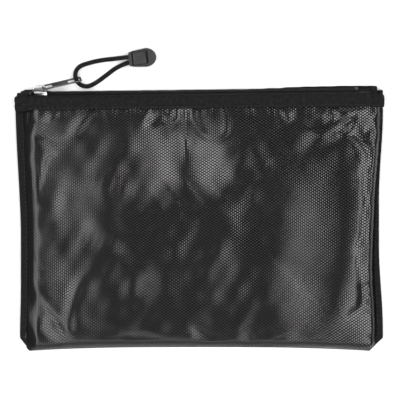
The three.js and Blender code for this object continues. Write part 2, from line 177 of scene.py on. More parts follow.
def ring_uv(rings):
    """Corner coordinates for ring_faces: round the section, and along the tube."""
    rows, columns = rings.shape[:2]
    along = spans(rings) * MM
    closed = np.concatenate([rings, rings[:, :1]], axis=1)
    around = spans(np.swapaxes(closed, 0, 1)) * MM
    uv = []
    for r in range(rows - 1):
        for c in range(columns):
            uv += [
                (around[c], along[r]),
                (around[c + 1], along[r]),
                (around[c + 1], along[r + 1]),
                (around[c], along[r + 1]),
            ]
    uv += [(around[c], along[0]) for c in reversed(range(columns))]
    uv += [(around[c], along[-1]) for c in range(columns)]
    return uv


def skin(name, rings, material):
    """A closed piece lofted through rings, an array of sections of points."""
    quads, ends = ring_faces(*rings.shape[:2])
    return make(name, rings.reshape(-1, 3), quads + ends, material, ring_uv(rings))


def many(name, parts, material):
    """One piece from several lofts."""
    points, faces, uv, first = [], [], [], 0
    for rings in parts:
        quads, ends = ring_faces(*rings.shape[:2])
        points.append(rings.reshape(-1, 3))
        faces += [tuple(first + i for i in face) for face in quads + ends]
        uv += ring_uv(rings)
        first += rings.shape[0] * rings.shape[1]
    return make(name, np.vstack(points), faces, material, uv)


def tube(line, radius, sides):
    """Rings round a line. radius is a number, or an array with one for each ring and side."""
    ahead = np.gradient(line, axis=0)
    ahead /= np.linalg.norm(ahead, axis=1)[:, None]
    side = np.cross(ahead[0], (0, 0, 1.0))
    if np.linalg.norm(side) < 0.1:
        side = np.cross(ahead[0], (0, 1.0, 0))
    turn = 2 * math.pi * np.arange(sides) / sides
    radius = np.broadcast_to(radius, (len(line), sides))
    rings = []
    for place, forward, size in zip(line, ahead, radius):
        side = side - forward * (side @ forward)
        side /= np.linalg.norm(side)
        up = np.cross(side, forward)
        spokes = np.cos(turn)[:, None] * side + np.sin(turn)[:, None] * up
        rings.append(place + size[:, None] * spokes)
    return np.array(rings)[:, ::-1]


def band(centre, thickness):
    """A closed section round an open centre line in a plane: both faces and two round edges."""
    ahead = np.gradient(centre, axis=0)
    ahead /= np.linalg.norm(ahead, axis=1)[:, None]
    out = np.stack([-ahead[:, 1], ahead[:, 0]], axis=1) * thickness / 2
    return np.vstack(
        [centre + out, centre[-1:] + ahead[-1:] * thickness * 0.4, (centre - out)[::-1],
         centre[:1] - ahead[:1] * thickness * 0.4]
    )


def split_in_middle(piece):
    """Two closed pieces, left and right of x = 0, which shade as one surface."""
    mesh = piece.data
    co = np.zeros(len(mesh.vertices) * 3)
    mesh.vertices.foreach_get("co", co)
    co = co.reshape(-1, 3)
    normals = np.array([v.vector[:] for v in mesh.vertex_normals])
    uv = np.zeros(len(mesh.loops) * 2, np.float32)
    mesh.uv_layers["cloth"].data.foreach_get("uv", uv)
    uv = uv.reshape(-1, 2)
    halves = []
    for side, suffix in ((-1, "left"), (1, "right")):
        kept = [f for f in mesh.polygons if side * f.center.x > 0]
        used = np.unique([v for f in kept for v in f.vertices])
        place = np.full(len(co), -1)
        place[used] = np.arange(len(used))
        half = make(
            f"{piece.name}_{suffix}",
            co[used] / MM,
            [tuple(int(place[v]) for v in f.vertices) for f in kept],
            mesh.materials[0],
            [uv[i] for f in kept for i in f.loop_indices],
        )
        bm = bmesh.new()
        bm.from_mesh(half.data)
        rim = [e for e in bm.edges if e.is_boundary]
        bmesh.ops.holes_fill(bm, edges=rim, sides=0)
        bm.to_mesh(half.data)
        bm.free()
        half.data.normals_split_custom_set_from_vertices(normals[used])
        halves.append(half)
    bpy.data.objects.remove(piece)
    return halves


def grid_sheet(name, top, thickness, material):
    """A closed sheet of cloth from a grid of its outer points, indexed [row along y][column along x]."""
    rows, columns = top.shape[:2]
    normal = np.cross(np.gradient(top, axis=1), np.gradient(top, axis=0))
    normal /= np.linalg.norm(normal, axis=2)[:, :, None]
    under = top - normal * thickness
    along, across = spans(top) * MM, spans(np.swapaxes(top, 0, 1)) * MM
    at = lambda layer, r, c: (layer * rows + r) * columns + c
    faces, uv = [], []

    def quad(*corners):
        faces.append(tuple(at(*corner) for corner in corners))
        uv.extend((across[c], along[r]) for _, r, c in corners)

    for r in range(rows - 1):
        for c in range(columns - 1):
            quad((0, r, c), (0, r, c + 1), (0, r + 1, c + 1), (0, r + 1, c))
            quad((1, r, c), (1, r + 1, c), (1, r + 1, c + 1), (1, r, c + 1))
    for c in range(columns - 1):
        quad((1, 0, c), (1, 0, c + 1), (0, 0, c + 1), (0, 0, c))
        quad((0, rows - 1, c), (0, rows - 1, c + 1), (1, rows - 1, c + 1), (1, rows - 1, c))
    for r in range(rows - 1):
        quad((0, r, 0), (0, r + 1, 0), (1, r + 1, 0), (1, r, 0))
        quad((1, r, columns - 1), (1, r + 1, columns - 1), (0, r + 1, columns - 1), (0, r, columns - 1))
    points = np.concatenate([top.reshape(-1, 3), under.reshape(-1, 3)])
    return make(name, points, faces, material, uv)


def refined(node, name, material, bevel, segments=2, keep_angle=28):
    """A new piece with a CAD node's shape, its edges rounded over."""
    mesh = frame["nodes"][node].data.copy()
    mesh.materials.clear()
    mesh.materials.append(material)
    bm = bmesh.new()
    bm.from_mesh(mesh)
    bmesh.ops.remove_doubles(bm, verts=bm.verts, dist=1e-6)
    bmesh.ops.dissolve_limit(bm, angle_limit=math.radians(1), verts=bm.verts, edges=bm.edges)
    bm.to_mesh(mesh)
    bm.free()
    mesh.shade_smooth()
    piece = bpy.data.objects.new(name, mesh)
    SCENE.collection.objects.link(piece)
    rounding = piece.modifiers.new("edges", "BEVEL")
    rounding.width = bevel * MM
    rounding.segments = segments
    rounding.limit_method = "ANGLE"
    rounding.angle_limit = math.radians(keep_angle)
    rounding.harden_normals = True
    return piece


def place(piece, body, slot, *nodes):
    """The piece rides on a body and stands for CAD nodes, which it hides; slot is not used."""
    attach(piece, body)
    if nodes:
        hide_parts(*nodes)
    return piece


# The mouth opens in the middle, between these places; its cloth stays with the bag at both sides.
MOUTH_LEFT, MOUTH_RIGHT = (node_box("zip_coil_front")[i][0] for i in (0, 1))
LIFTED_HALF = 44  # half the width of the mouth's middle


def place_across_mouth(halves, slot, *nodes):
    """Both halves keep their places, with their transforms baked in; the CAD nodes they stand for are
    hidden.
    """
    for half, start, end in zip(halves, (MOUTH_LEFT, MOUTH_RIGHT), (-LIFTED_HALF, LIFTED_HALF)):
        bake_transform(half)
        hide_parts(*nodes)


# ---- Materials ----
class Finish:
    """A material's nodes round one Principled shader."""

    def __init__(self, name, **values):
        self.material = bpy.data.materials.new(name)
        self.material.use_nodes = True
        self.tree = self.material.node_tree
        self.shader = self.tree.nodes["Principled BSDF"]
        for key, value in values.items():
            self.shader.inputs[key.replace("_", " ")].default_value = value

    def add(self, kind, *inputs, **settings):
        node = self.tree.nodes.new("ShaderNode" + kind)
        for key, value in settings.items():
            setattr(node, key, value)
        for i, value in enumerate(inputs):
            self.plug(node.inputs[i], value)
        return node

    def plug(self, socket, value):
        if isinstance(value, bpy.types.NodeSocket):
            self.tree.links.new(value, socket)
        elif value is not None:
            socket.default_value = value

    def calc(self, operation, *inputs):
        return self.add("Math", *inputs, operation=operation).outputs[0]

    def ramp(self, value, low, high, to_low=0.0, to_high=1.0):
        """value from low to high becomes to_low to to_high, held at both ends."""
        return self.add("MapRange", value, low, high, to_low, to_high).outputs[0]

    def blend(self, share, first, second):
        node = self.tree.nodes.new("ShaderNodeMix")
        node.data_type = "RGBA"
        self.plug(node.inputs["Factor"], share)
        self.plug(node.inputs["A"], (*first, 1) if isinstance(first, tuple) else first)
        self.plug(node.inputs["B"], (*second, 1) if isinstance(second, tuple) else second)
        return node.outputs["Result"]

    def cloth_place(self):
        """Corner coordinates in metres, as separate U and V."""
        uv = self.add("UVMap", uv_map="cloth").outputs[0]
        return uv, self.add("SeparateXYZ", uv)

    def object_place(self):
        return self.add("TexCoord").outputs["Object"]

    def edges(self):
        """0 on level faces, 1 on faces that stand steeply: it marks where painted shade darkens steep
        sides and edges.
        """
        normal = self.add("TexCoord").outputs["Normal"]
        return self.ramp(self.add("SeparateXYZ", normal).outputs[2], 0.55, 0.9, 1.0, 0.0)

    def noise(self, place, scale, detail=3, roughness=0.5):
        node = self.add("TexNoise")
        self.plug(node.inputs["Vector"], place)
        self.plug(node.inputs["Scale"], scale)
        self.plug(node.inputs["Detail"], detail)
        self.plug(node.inputs["Roughness"], roughness)
        return node.outputs[0]

    def wave(self, distance, pitch, turn=2 * math.pi):
        """The cosine of a distance, once for each pitch."""
        return self.calc("COSINE", self.calc("MULTIPLY", distance, turn / pitch))

    def bump(self, height, distance, strength=1.0, under=None):
        node = self.add("Bump")
        self.plug(node.inputs["Height"], height)
        self.plug(node.inputs["Distance"], distance)
        self.plug(node.inputs["Strength"], strength)
        self.plug(node.inputs["Normal"], under)
        return node.outputs[0]

    def use(self, **sockets):
        for key, value in sockets.items():
            self.plug(self.shader.inputs[key.replace("_", " ")], value)
        return self.material


WARP, WEFT = 0.00302, 0.00206  # two yarns of a plain weave, across and along the bag


def woven(f, uv, parts, warp=WARP, weft=WEFT):
    """Height of a plain weave, from 0 in the holes to 1 on the yarns' crowns, slightly uneven."""
    drift = f.noise(uv, 200.0, 2)
    u = f.calc("ADD", parts.outputs[0], f.calc("MULTIPLY", drift, warp * 0.25))
    v = f.calc("ADD", parts.outputs[1], f.calc("MULTIPLY", drift, weft * 0.25))
    dots = f.calc("MULTIPLY", f.wave(u, warp), f.wave(v, weft))
    yarns = f.calc("MULTIPLY", f.wave(u, warp / 2), 0.18)
    return f.ramp(f.calc("ADD", dots, yarns), -1.1, 1.1)


def coated_cloth():
    f = Finish("coated_cloth", Specular_IOR_Level=0.04, Coat_Roughness=0.17, Coat_IOR=1.7)
    uv, parts = f.cloth_place()
    weave = woven(f, uv, parts)
    crown = f.ramp(weave, 0.39, 0.6)
    patches = f.noise(uv, 34.0, 4, 0.6)
    scuffs = f.noise(uv, 150.0, 5, 0.7)
    grain = f.noise(uv, 2600.0, 2)
    colour = f.blend(crown, (0.0008, 0.0008, 0.001), (0.011, 0.011, 0.0116))
    colour = f.blend(f.ramp(patches, 0.35, 0.75, 0.0, 0.25), colour, (0.008, 0.008, 0.0085))
    rough = f.ramp(scuffs, 0.3, 0.7, 0.62, 0.86)
    gloss = f.calc("MULTIPLY", crown, f.ramp(patches, 0.35, 0.7, 0.94, 0.78))
    gloss = f.calc("MULTIPLY", gloss, f.ramp(scuffs, 0.55, 0.75, 1.0, 0.8))
    yarns = f.bump(weave, 0.00016, 0.8)
    coat = f.bump(weave, 0.00016, 0.5)
    return f.use(
        Base_Color=colour, Roughness=rough, Normal=f.bump(grain, 0.00002, 0.5, yarns),
        Coat_Weight=gloss, Coat_Normal=coat,
    )


def lining_cloth():
    f = Finish("lining_cloth", Roughness=0.85)
    uv, parts = f.cloth_place()
    weave = woven(f, uv, parts, 0.0022, 0.0016)
    patches = f.noise(uv, 60.0, 4, 0.6)
    colour = f.blend(weave, (0.14, 0.135, 0.125), (0.36, 0.35, 0.32))
    colour = f.blend(f.ramp(patches, 0.4, 0.7, 0.0, 0.3), colour, (0.26, 0.25, 0.23))
    fibres = f.bump(weave, 0.00012, 0.8)
    return f.use(Base_Color=colour, Normal=f.bump(f.noise(uv, 3000.0), 0.00003, 0.4, fibres))


def woven_tape():
    f = Finish("woven_tape", Specular_IOR_Level=0.09, Sheen_Weight=0.02, Sheen_Roughness=0.4)
    uv, parts = f.cloth_place()
    ribs = f.wave(parts.outputs[0], 0.0008)
    picks = f.wave(parts.outputs[1], 0.00055)
    twill = f.ramp(f.calc("MULTIPLY", ribs, picks), -1.0, 1.0)
    patches = f.noise(uv, 420.0, 4, 0.7)
    fluff = f.noise(uv, 1800.0, 3)
    colour = f.blend(twill, (0.003, 0.003, 0.0033), (0.009, 0.009, 0.0095))
    colour = f.blend(f.ramp(patches, 0.45, 0.66, 0.0, 0.75), colour, (0.015, 0.015, 0.0154))
    rough = f.ramp(fluff, 0.3, 0.7, 0.66, 0.9)
    threads = f.bump(twill, 0.00009, 0.7)
    return f.use(Base_Color=colour, Roughness=rough, Normal=f.bump(fluff, 0.00004, 0.5, threads))


def nylon_coil():
    f = Finish("nylon_coil", Specular_IOR_Level=0.16)
    place = f.object_place()
    haze = f.noise(place, 420.0, 3)
    colour = f.blend(haze, (0.006, 0.006, 0.0065), (0.02, 0.02, 0.021))
    rough = f.ramp(haze, 0.3, 0.7, 0.42, 0.6)
    return f.use(Base_Color=colour, Roughness=rough, Normal=f.bump(haze, 0.00003, 0.4))


def thread():
    f = Finish("thread", Roughness=0.6, Specular_IOR_Level=0.2)
    uv, parts = f.cloth_place()
    slant = f.calc("ADD", f.calc("MULTIPLY", parts.outputs[0], 0.8), parts.outputs[1])
    plies = f.ramp(f.wave(slant, 0.00042), -1.0, 1.0)
    colour = f.blend(plies, (0.006, 0.006, 0.0065), (0.03, 0.03, 0.031))
    return f.use(Base_Color=colour, Normal=f.bump(plies, 0.00006, 0.8))


def braid():
    f = Finish("braid", Specular_IOR_Level=0.1, Sheen_Weight=0.02)
    uv, parts = f.cloth_place()
    fibres = f.noise(uv, 2400.0, 3, 0.6)
    plies = f.ramp(f.wave(f.calc("ADD", parts.outputs[0], parts.outputs[1]), 0.00034), -1.0, 1.0)
    streaks = f.noise(uv, 480.0, 2)
    colour = f.blend(plies, (0.002, 0.002, 0.0022), (0.008, 0.008, 0.0085))
    colour = f.blend(f.ramp(streaks, 0.58, 0.74, 0.0, 0.7), colour, (0.05, 0.05, 0.052))
    rough = f.ramp(fibres, 0.3, 0.7, 0.5, 0.78)
    return f.use(Base_Color=colour, Roughness=rough, Normal=f.bump(plies, 0.00005, 0.7))


def plated_metal():
    f = Finish("plated_metal", Metallic=1.0, Roughness=0.16)
    place = f.object_place()
    cast = f.noise(place, 900.0, 4, 0.6)
    stain = f.noise(place, 260.0, 3)
    fine = f.add("TexNoise")
    f.plug(fine.inputs["Vector"], f.add("Mapping", place, None, None, (60.0, 900.0, 900.0)).outputs[0])
    f.plug(fine.inputs["Scale"], 6.0)
    colour = f.blend(f.ramp(stain, 0.35, 0.7), (0.75, 0.75, 0.76), (0.45, 0.45, 0.46))
    # Painted shade: steep faces and edges of the plated metal are darkened almost to black.
    colour = f.blend(f.calc("MULTIPLY", f.edges(), 0.9), colour, (0.03, 0.03, 0.031))
    rough = f.ramp(fine.outputs[0], 0.3, 0.7, 0.1, 0.26)
    return f.use(Base_Color=colour, Roughness=rough, Normal=f.bump(cast, 0.00002, 0.35))


def stamped_steel():
    f = Finish("stamped_steel", Metallic=1.0, Roughness=0.34)
    place = f.object_place()
    lines = f.add("TexNoise")
    f.plug(lines.inputs["Vector"], f.add("Mapping", place, None, None, (150.0, 2600.0, 2600.0)).outputs[0])
    f.plug(lines.inputs["Scale"], 1.0)
    marks = f.noise(place, 500.0, 4, 0.7)
    colour = f.blend(f.ramp(marks, 0.35, 0.7), (0.15, 0.15, 0.152), (0.26, 0.26, 0.263))
    # Painted shade: steep faces and edges of the tab and spring are darkened to near black.
    colour = f.blend(f.edges(), colour, (0.008, 0.008, 0.0082))
    rough = f.ramp(lines.outputs[0], 0.3, 0.7, 0.26, 0.46)
    return f.use(Base_Color=colour, Roughness=rough, Normal=f.bump(lines.outputs[0], 0.00003, 0.4))


def moulded_plastic():
    f = Finish("moulded_plastic", Specular_IOR_Level=0.35)
    place = f.object_place()
    spark = f.noise(place, 3200.0, 2)
    haze = f.noise(place, 220.0, 4, 0.6)
    colour = f.blend(f.ramp(haze, 0.3, 0.7), (0.008, 0.008, 0.0086), (0.017, 0.017, 0.018))
    rough = f.ramp(spark, 0.3, 0.7, 0.42, 0.58)
    return f.use(Base_Color=colour, Roughness=rough, Normal=f.bump(spark, 0.00004, 0.6))


def pale_floor():
    f = Finish("pale_floor", Roughness=0.7)
    haze = f.noise(f.object_place(), 3.0, 3)
    return f.use(Base_Color=f.blend(haze, (0.86, 0.86, 0.86), (0.9, 0.9, 0.9)))


CLOTH = coated_cloth()
LINING = lining_cloth()
TAPE = woven_tape()
NYLON = nylon_coil()
THREAD = thread()
BRAID = braid()
PLATED = plated_metal()
STEEL = stamped_steel()
PLASTIC = moulded_plastic()


# ---- The puller cord: out of the cord end, through the pull tab's slot and back ----
CORD_DIAMETER = 3.5
CORD_Z = 4.15
STRAND_Y = 1.85
CORD_STOP = 7.4
END_PLACE = (-52, 117.2)
END_TURN = math.radians(7)


def in_end(x, y, z=CORD_Z):
    """A point given along and across the cord end, from the middle of its collar's face."""
    cos, sin = math.cos(END_TURN), math.sin(END_TURN)
    return (END_PLACE[0] + x * cos - y * sin, END_PLACE[1] + x * sin + y * cos, z)


CORD_ROUTE = [
    in_end(CORD_STOP, STRAND_Y),
    in_end(2, STRAND_Y),
    (-57.5, 118.4, 3.5),
    (-64, 117.7, 2.4),
    (-71, 116.9, 2.2),
    (-78.5, 115.4, 3),
    (-86.2, 113, 3.7),
    (-88.8, 111.4, 4.4),
    (-90.6, 108.9, 4.8),
    (-91.3, 105.9, 4.7),
    (-90.8, 102.9, 4.1),
    (-89.2, 100.2, 3.3),
    (-86.8, 98.4, 2.5),
    (-83.8, 97.6, 1.9),
    (-80.7, 98, 1.8),
    (-74.5, 101.4, 1.8),
    (-68, 106.2, 1.8),
    (-60.5, 111.5, 2.5),
    in_end(2, -STRAND_Y),
    in_end(CORD_STOP, -STRAND_Y),
]
BRAID_STRANDS = 8  # in each direction
BRAID_LENGTH = 9.0  # one strand's full turn round the cord
BRAID_RELIEF = 0.13


def braided(line, radius, sides=40, strands=BRAID_STRANDS, turn_length=BRAID_LENGTH):
    """A tube whose surface is raised in the small diamonds of a braid."""
    along = spans(line)[:, None]
    around = np.arange(sides)[None, :] / sides * strands
    left = around + along * strands / turn_length
    right = around - along * strands / turn_length
    crown = np.abs(np.sin(math.pi * left) * np.sin(math.pi * right)) ** 0.5
    return tube(line, radius - BRAID_RELIEF * (1 - crown), sides)


cord_line = spline(CORD_ROUTE, 0.32)
cord = skin("puller_cord_braid", braided(cord_line, CORD_DIAMETER / 2 - 0.05), BRAID)
place(cord, "cord", "braid", "puller_cord")

# The two ends are tied in one knot inside the cord end.
knot_turn = np.linspace(0, 2 * math.pi, 73)[:-1]
knot_low, knot_high = node_box("cord_knot")
knot_middle = (knot_low + knot_high) / 2
knot_curve = np.stack(
    [np.cos(knot_turn) - 2 * np.cos(2 * knot_turn), np.sin(knot_turn) + 2 * np.sin(2 * knot_turn),
     -np.sin(3 * knot_turn)], axis=1,
)
KNOT_RADIUS = 0.75
knot_size = (knot_high - knot_low) / 2 - KNOT_RADIUS
knot_curve = knot_curve / np.abs(knot_curve).max(axis=0) * knot_size + knot_middle
knot_curve = even(np.vstack([knot_curve, knot_curve[:1]]), 0.3)[:-1]
knot = skin("cord_end_knot", braided(knot_curve, KNOT_RADIUS, 16, 4, 4.5), BRAID)
place(knot, "cord", "braid", "cord_knot")

# ---- The cord end ----
housing = refined("cord_end_housing", "cord_end_shell", PLASTIC, 0.22)
place(housing, "cord", "moulded_plastic", "cord_end_housing")
flap = refined("cord_end_flap", "cord_end_lid", PLASTIC, 0.18)
place(flap, "flap", "moulded_plastic", "cord_end_flap")

# ---- The bag's outline, seen from above ----
FOOT = -94.4  # the bottom edge's middle
FOOT_DIP = 2.7  # its ends reach this much lower
CORNER = 9.5  # how much the lower corners are cut across
CORNER_X = 134.5
CORNER_Y = FOOT - FOOT_DIP + CORNER  # where the sides end and the cuts begin
CORNER_FOOT = 124.6  # how far from the middle the cuts meet the bottom edge
LEFT_BINDING = 5.0  # width of the left strip over the cloth, below the middle
BAND_FOOT = 81.2  # lower edge of the zip's band


def left_edge(y):
    return -131.5 - 3.9 * smooth((y + 15) / 100) - 0.7 * smooth((-50 - y) / 40)


def right_edge(y):
    return 132.2 + 2.9 * smooth((y - 15) / 65) + 2.9 * smooth((-20 - y) / 62)


def left_binding_width(y):
    return LEFT_BINDING + 0.8 * smooth((y - 10) / 55)


def right_binding_width(y):
    return 1.5 + 3.6 * smooth((62 - y) / 130)


def foot_edge(x):
    return FOOT - FOOT_DIP * np.abs(x / 124) ** 3


def within_corner(x, y, side):
    """Distance inside the 45-degree cut across one lower corner."""
    return ((CORNER_X - side * x) + (y - CORNER_Y)) / math.sqrt(2)


# ---- The front panel's surface ----
SEAM_Z = 2.7  # where the two panels meet at the sides and the bottom
PLATEAU = 9.6
TOP_Z = 11.0  # under the zip's band
LEFT_RUN = 8.0
LEFT_LIFT = 2.3  # its left seam stands higher
LEFT_SINK = 2.1  # the panel lies a little lower at the left
LEFT_BAND_SINK = 3.0  # and lower still beside the zip's left end
RIGHT_RUN = 4.2
FOOT_RUN = 6
CLOTH_THICKNESS = 0.7
# Soft folds: points of a line along each, its half widths on the left and right, and its height.
FOLDS = [
    ([(-12, 112), (-12, 58), (-7, 0)], 25, 25, -6.0),
    ([(-10, 112), (-11, 72), (-9, 40)], 2.6, 2.6, -1.0),
    ([(-4, 100), (-4, 72), (6, 60), (18, 62), (20, 82)], 3.2, 3.2, 0.9),
    ([(-17, 100), (-17, 76), (-24, 60)], 3.0, 3.0, 0.8),
    ([(115, 92), (117, 10), (112, -36), (94, -66), (58, -92)], 40, 25, 5.0),
    ([(54, 50), (56, -10), (40, -120)], 50, 24, -2.2),
    ([(-123, 100), (-122, 0), (-118, -60), (-88, -84), (-50, -86)], 7, 7, 0.9),
    ([(-104, 40), (-106, -20)], 6, 6, -0.6),
    ([(-82, -36), (-93, -60), (-97, -96)], 4.5, 4.5, 0.8),
    ([(-62, 34), (-76, -24)], 16, 16, 1.3),
    ([(-70, -10), (-40, -60)], 12, 12, -0.9),
    ([(-76, 88), (-85, 72), (-97, 58)], 4, 4, 0.8),
    ([(-103, 88), (-112, 64)], 3.4, 3.4, 0.7),
    ([(-122, 86), (-127, 64)], 2.2, 2.2, 0.9),
    ([(134, 106), (107, 77), (70, 44)], 6.5, 6.5, 1.7),
    ([(60, 88), (67, 70)], 3.5, 3.5, 1.0),
    ([(20, -88), (46, -58)], 9, 9, 0.6),
    ([(36, 60), (48, 34)], 9, 9, -0.9),
]


NARROW = 7  # folds up to this half width run on to the zip's band; broader ones fade before it


def fold(x, y, line, left, right, height):
    """A ridge or valley along a curved line, fading towards both its ends."""
    points = spline([(a, b, 0) for a, b in line], 3.0)[:, :2]
    share = np.linspace(0, 1, len(points))
    fade = smooth(share / 0.3) * smooth((1 - share) / 0.3)
    fade = np.maximum(fade, 0.35 * (1 - np.abs(2 * share - 1)))
    near = np.full(x.shape, 1e9)
    strength = np.zeros(x.shape)
    width = np.ones(x.shape)
    for (px, py), f in zip(points, fade):
        d = (x - px) ** 2 + (y - py) ** 2
        closer = d < near
        near = np.where(closer, d, near)
        strength = np.where(closer, f, strength)
        width = np.where(closer, np.where(x < px, left, right), width)
    return height * strength * np.exp(-near / width**2)


def gathers(x, below, seed, spacing, width, height, reach):
    """Small puckers where cloth is sewn to a tape: they fade with the distance below the seam."""
    rng = np.random.default_rng(seed)
    total = np.zeros(np.shape(x))
    for middle in np.arange(-132, 132, spacing):
        at, size, slant, far, wide = rng.random(5)
        centre = middle + 1.4 * spacing * (at - 0.5) + (slant - 0.5) * 0.9 * below
        spread = width * (0.6 + wide) + 0.12 * below
        fade = np.exp(-below / (reach * (0.5 + far)))
        total = total + height * (0.3 + size) * np.exp(-(((x - centre) / spread) ** 2)) * fade
    return total


def rise(distance, run, steep=2.4):
    """From 0 at an edge to 1 at run from it, steepest at the edge."""
    return 1 - (1 - np.clip(distance / run, 0, 1)) ** steep


def cloth_left(y):
    return left_edge(y) + left_binding_width(y)


def cloth_right(y):
    return right_edge(y) - right_binding_width(y)


def left_lift(x, y):
    """How much higher the left seam stands; it falls away towards the lower corner."""
    return LEFT_LIFT * (1 - smooth((x + 118) / 8)) * smooth((y - foot_edge(x) - 8) / 18)


def panel_height(x, y, fine):
    """Height of the front panel; fine adds the small puckers."""
    up = rise(x - cloth_left(y), LEFT_RUN, 1.4) * rise(cloth_right(y) - x, RIGHT_RUN)
    up = up * rise(y - foot_edge(x), FOOT_RUN)
    for side in (-1, 1):
        up = up * rise(within_corner(x, y, side), RIGHT_RUN)
    top = BAND_FOOT + x * ZIP_SLOPE
    near_band = smooth((y - top + 22) / 20)
    crown = PLATEAU + (TOP_Z - PLATEAU) * near_band
    crown = crown - LEFT_SINK * (1 - smooth((x + 126) / 62)) * (1 - near_band)
    crown = crown - LEFT_BAND_SINK * (1 - smooth((x + 128) / 10)) * near_band
    seam = SEAM_Z + left_lift(x, y)
    height = seam + (crown - seam) * up
    if fine:
        broad = sum(fold(x, y, *f) for f in FOLDS if f[1] > NARROW)
        sharp = sum(fold(x, y, *f) for f in FOLDS if f[1] <= NARROW)
        calm = smooth(np.minimum(x - cloth_left(y), cloth_right(y) - x) / 26)
        calm = calm * smooth((y - foot_edge(x)) / 16)
        calm = calm * (1 - 0.75 * smooth(1.6 - np.hypot((x - 84) / 34, (y + 20) / 70)))
        broad = broad + (0.32 * rumple(x, y, 5, 50) + 0.15 * rumple(x, y, 9, 21)) * calm
        broad = broad * (1 - 0.75 * smooth((y - top + 30) / 30))
        sharp = sharp * (1 - 0.5 * smooth((y - top + 3) / 4))
        height = height + (broad + sharp) * smooth(up * 1.4)
        below = np.maximum(top - y, 0)
        edge = smooth(up * 1.2) * smooth((below + 3) / 4)
        height = height + gathers(x, below, 3, 7.5, 1.6, 0.46, 5.0) * edge
        side_below = np.maximum(cloth_right(y) - x, 0)
        height = height + gathers(y, side_below, 11, 13, 2.2, -3.0, 3.6) * smooth(side_below / 2)
    return np.minimum(height, TOP_Z + 0.2 + 4 * smooth((top - 1 - y) / 5))


COLUMNS, ROWS = 197, 131  # an odd number of columns, so that one lies in the middle


def panel_places(tuck):
    """Places of the panel's grid, from seam to seam, running on under the band by tuck."""
    s = np.linspace(-1, 1, COLUMNS)
    s = np.sign(s) * (1 - (1 - np.abs(s)) ** 1.12)
    t = np.linspace(0, 1, ROWS) ** 1.08
    x = np.zeros((ROWS, COLUMNS))
    y = np.zeros((ROWS, COLUMNS))
    for r, share in enumerate(t):
        guess = s * 132
        low = foot_edge(guess) + 0.6
        high = BAND_FOOT + tuck + guess * ZIP_SLOPE
        rough_y = low + share * (high - low)
        left, right = cloth_left(rough_y), cloth_right(rough_y)
        cut = CORNER_X + rough_y - CORNER_Y
        left, right = np.maximum(left, -cut - 0.2), np.minimum(right, cut + 0.2)
        x[r] = np.where(s < 0, -s * left, s * right)
        y[r] = rough_y
    return x, y


SIM_FRAMES = 20
SIM_STEP = 2  # the simulation uses every second row and column


def relaxed(top, pressure, stretch, cap):
    """The grid after a short cloth simulation, held at its edges. No point moves more than cap."""
    rows, columns = top.shape[:2]
    faces = [
        (r * columns + c, r * columns + c + 1, (r + 1) * columns + c + 1, (r + 1) * columns + c)
        for r in range(rows - 1) for c in range(columns - 1)
    ]
    work = make("cloth_work", top.reshape(-1, 3), faces, CLOTH)
    held = [
        r * columns + c for r in range(rows) for c in range(columns)
        if r in (0, rows - 1) or c in (0, columns - 1)
    ]
    work.vertex_groups.new(name="held").add(held, 1.0, "REPLACE")
    modifier = work.modifiers.new("Cloth", "CLOTH")
    cloth = modifier.settings
    cloth.quality = 5
    cloth.mass = 0.25
    cloth.tension_stiffness = 18
    cloth.compression_stiffness = 18
    cloth.bending_stiffness = 0.8
    cloth.vertex_group_mass = "held"
    cloth.use_pressure = True
    cloth.uniform_pressure_force = pressure
    cloth.shrink_min = -stretch
    cloth.effector_weights.gravity = 0
    modifier.point_cache.frame_start = 1
    modifier.point_cache.frame_end = SIM_FRAMES
    for step in range(1, SIM_FRAMES + 1):
        SCENE.frame_set(step)
    evaluated = work.evaluated_get(bpy.context.evaluated_depsgraph_get())
    moved = np.array([v.co for v in evaluated.data.vertices]) / MM
    SCENE.frame_set(1)
    bpy.data.objects.remove(work)
    change = moved.reshape(top.shape) - top
    size = np.linalg.norm(change, axis=2)[:, :, None]
    return top + change * np.minimum(1, cap / np.maximum(size, 1e-9))


BAND_TUCK = 3.0  # how far the cloth runs on under the zip's band
panel_x, panel_y = panel_places(BAND_TUCK)
plain = panel_height(panel_x, panel_y, False)
folded = panel_height(panel_x, panel_y, True)
coarse = np.stack([panel_x, panel_y, plain], axis=2)[::SIM_STEP, ::SIM_STEP]
swell = relaxed(coarse, 3.0, 0.014, 1.2) - coarse


def finer(values, rows, columns):
    """A coarse grid of values, spread smoothly over a finer one."""
    r = np.linspace(0, values.shape[0] - 1, rows)
    c = np.linspace(0, values.shape[1] - 1, columns)
    wide = np.stack([np.interp(c, np.arange(values.shape[1]), row) for row in values])
    return np.stack([np.interp(r, np.arange(values.shape[0]), col) for col in wide.T], axis=1)


swell = np.stack([finer(swell[:, :, i], ROWS, COLUMNS) for i in range(3)], axis=2)
free = np.minimum(panel_x - cloth_left(panel_y), cloth_right(panel_y) - panel_x)
free = np.minimum(free, panel_y - foot_edge(panel_x))
swell = swell * (0.25 + 0.75 * smooth(free / 28))[:, :, None]
swell[:, :, 2] *= smooth((BAND_FOOT + panel_x * ZIP_SLOPE - panel_y) / 8)
front_top = np.stack([panel_x, panel_y, folded], axis=2) + swell
front_cloth = grid_sheet("front_cloth", front_top, CLOTH_THICKNESS, CLOTH)
front_halves = split_in_middle(front_cloth)
place_across_mouth(front_halves, "coated_cloth", "front_panel")

# The lining follows it a little way inside.
LINING_DEPTH = 1.5
LINING_THICKNESS = 0.4
lining_top = front_top[2:-3:2, 2:-2:2].copy()
lining_top[:, :, 2] = np.maximum(lining_top[:, :, 2] - LINING_DEPTH, 2.6)
lining_top[:, lining_top.shape[1] // 2, 0] = 0
front_lining = grid_sheet("front_lining_cloth", lining_top, LINING_THICKNESS, LINING)
lining_halves = split_in_middle(front_lining)
place_across_mouth(lining_halves, "lining_cloth", "front_lining")

